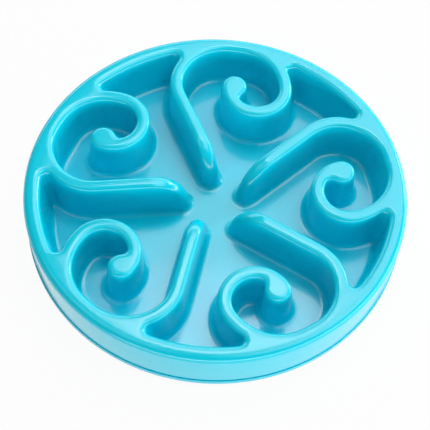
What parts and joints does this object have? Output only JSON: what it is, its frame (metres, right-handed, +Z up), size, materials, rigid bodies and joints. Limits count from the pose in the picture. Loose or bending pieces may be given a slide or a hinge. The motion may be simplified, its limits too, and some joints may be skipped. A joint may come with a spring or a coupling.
{
  "type": "slow feeder bowl",
  "caption": "Round shallow pet bowl whose food floor is divided by spiral walls that grow out of the rim, so the animal has to lick its food out of curved channels.",
  "frame": {"origin": "centre of the bowl's round outline, on the table under its rubber feet", "axes": "+Z up, along the axis of the round rim; +Y towards the loop of the first spiral wall; +X to the right of it"},
  "size_m": [0.21, 0.21, 0.029],
  "materials": {
    "bowl_plastic": "glossy moulded turquoise",
    "foot_rubber": "matte dark grey"
  },
  "bodies": {
    "root": {"rim_and_skirt": "bowl_plastic", "food_floor": "bowl_plastic", "straight_wall_1": "bowl_plastic", "straight_wall_2": "bowl_plastic", "straight_wall_3": "bowl_plastic", "straight_wall_4": "bowl_plastic", "straight_wall_5": "bowl_plastic", "curl_wall_1": "bowl_plastic", "curl_wall_2": "bowl_plastic", "curl_wall_3": "bowl_plastic", "curl_wall_4": "bowl_plastic", "curl_wall_5": "bowl_plastic", "rubber_foot_1": "foot_rubber", "rubber_foot_2": "foot_rubber", "rubber_foot_3": "foot_rubber", "rubber_foot_4": "foot_rubber", "rubber_foot_5": "foot_rubber"}
  },
  "joints": []
}
